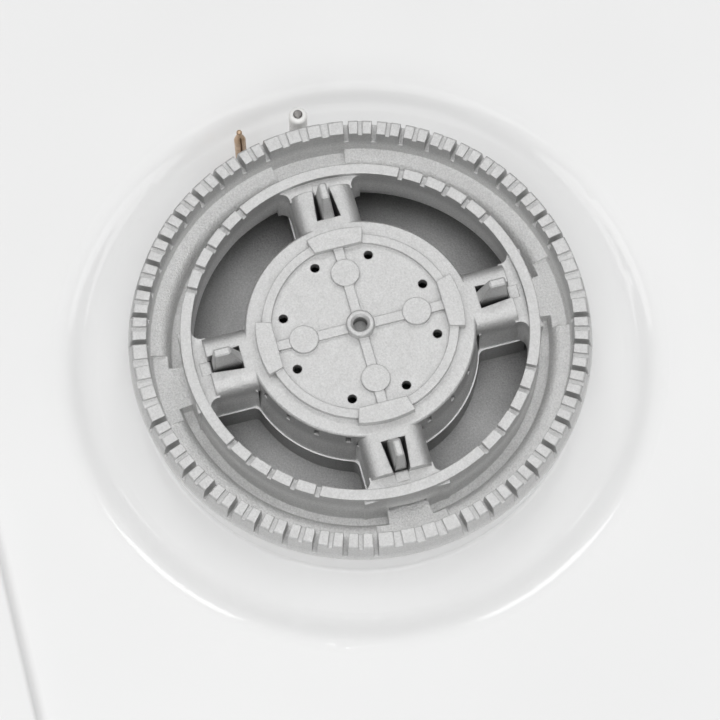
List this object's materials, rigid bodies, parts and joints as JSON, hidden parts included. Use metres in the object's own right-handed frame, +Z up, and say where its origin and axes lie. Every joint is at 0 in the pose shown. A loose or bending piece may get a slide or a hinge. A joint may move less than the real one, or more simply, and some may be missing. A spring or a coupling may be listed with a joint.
{
  "type": "built-in gas hob",
  "caption": "Compact built-in gas hob: white enamelled plate with a triple-ring cast burner in a round dish, a tap knob on the front strip, and a steel base box with its gas fittings.",
  "frame": {"origin": "middle of the underside of the base box, below the middle of the plate", "axes": "+Z up, -Y toward the user at the knob, +Y toward the back where the gas comes in"},
  "size_m": [0.33, 0.371, 0.1003],
  "materials": {
    "white_enamel": "gloss white vitreous enamel on pressed steel",
    "cast_aluminium": "die-cast aluminium, bead-blasted and matt",
    "gasket_fibre": "compressed fibre sheet",
    "zinc_steel": "zinc-plated steel",
    "turned_brass": "turned brass",
    "white_ceramic": "glazed alumina ceramic",
    "stainless_pin": "heat-darkened stainless steel",
    "probe_bronze": "heat-tinted copper alloy",
    "knob_plastic": "satin white thermoset",
    "seal_rubber": "soft black silicone",
    "dark_plastic": "moulded black plastic",
    "battery_can": "plain wrapped steel can",
    "copper_pipe": "drawn copper",
    "galvanised_sheet": "galvanised steel sheet",
    "lead_silicone": "silicone-sleeved wire"
  },
  "bodies": {
    "hob": {"top_plate": "white_enamel", "burner_cup": "cast_aluminium", "cup_gasket": "gasket_fibre", "weld_studs": "zinc_steel", "cup_nuts": "zinc_steel", "injector": "turned_brass", "spark_electrode": "white_ceramic", "electrode_pin": "stainless_pin", "electrode_clip": "zinc_steel", "clip_screw": "zinc_steel", "thermocouple": "probe_bronze", "thermocouple_nut": "turned_brass", "tap_body": "cast_aluminium", "tap_cover": "zinc_steel", "tap_bridge": "zinc_steel", "tap_screws": "zinc_steel", "magnet_unit": "turned_brass", "lead_nut": "turned_brass", "spindle_spring": "stainless_pin", "knob_seal": "seal_rubber", "ignition_switch": "dark_plastic", "spark_generator": "dark_plastic", "battery_tube": "dark_plastic", "battery_cell": "battery_can", "gas_inlet": "turned_brass", "inlet_locknut": "zinc_steel", "supply_pipe": "copper_pipe", "supply_nuts": "turned_brass", "gas_pipe": "copper_pipe", "pipe_nuts": "turned_brass", "base_box": "galvanised_sheet", "plate_brackets": "zinc_steel", "box_screws": "zinc_steel", "fixing_clamps": "zinc_steel", "clamp_screws": "zinc_steel", "worktop_seal": "seal_rubber", "thermocouple_lead": "copper_pipe", "ignition_lead": "lead_silicone"},
    "head": {"burner_head": "cast_aluminium"},
    "push": {"spindle_washer": "zinc_steel"},
    "knob": {"knob": "knob_plastic", "spindle": "zinc_steel"},
    "plug": {"tap_plug": "turned_brass"},
    "valve": {"valve_stem": "stainless_pin"},
    "plunger": {"switch_plunger": "dark_plastic"},
    "cap": {"battery_cap": "dark_plastic"}
  },
  "joints": [
    {"name": "head_lift", "type": "slide", "parent": "hob", "child": "head", "axis": [0, 0, 1], "range_m": [0, 0.05]},
    {"name": "knob_push", "type": "slide", "parent": "hob", "child": "push", "axis": [0, 0, -1], "range_m": [0, 0.0035], "stiffness_N_per_m": 1200, "springref_m": -0.002, "deforming": ["spindle_spring"]},
    {"name": "knob_turn", "type": "hinge", "parent": "push", "child": "knob", "pos_m": [0, -0.138, 0.09], "axis": [0, 0, 1], "range_deg": [0, 210]},
    {"name": "plug_turn", "type": "hinge", "parent": "hob", "child": "plug", "pos_m": [0, -0.138, 0.047], "axis": [0, 0, 1], "range_deg": [0, 210]},
    {"name": "valve_slide", "type": "slide", "parent": "hob", "child": "valve", "axis": [0, 0, -1], "range_m": [0, 0.0035]},
    {"name": "plunger_slide", "type": "slide", "parent": "hob", "child": "plunger", "axis": [0, 0, -1], "range_m": [0, 0.0035]},
    {"name": "battery_cap_turn", "type": "hinge", "parent": "hob", "child": "cap", "pos_m": [0.105, -0.125, 0.005], "axis": [0, 0, 1], "range_deg": [0, 60]}
  ],
  "couplings": [
    {"joint": "plug_turn", "follows": "knob_turn", "ratio": 1},
    {"joint": "valve_slide", "follows": "knob_push", "ratio": 1},
    {"joint": "plunger_slide", "follows": "knob_push", "ratio": 1}
  ]
}
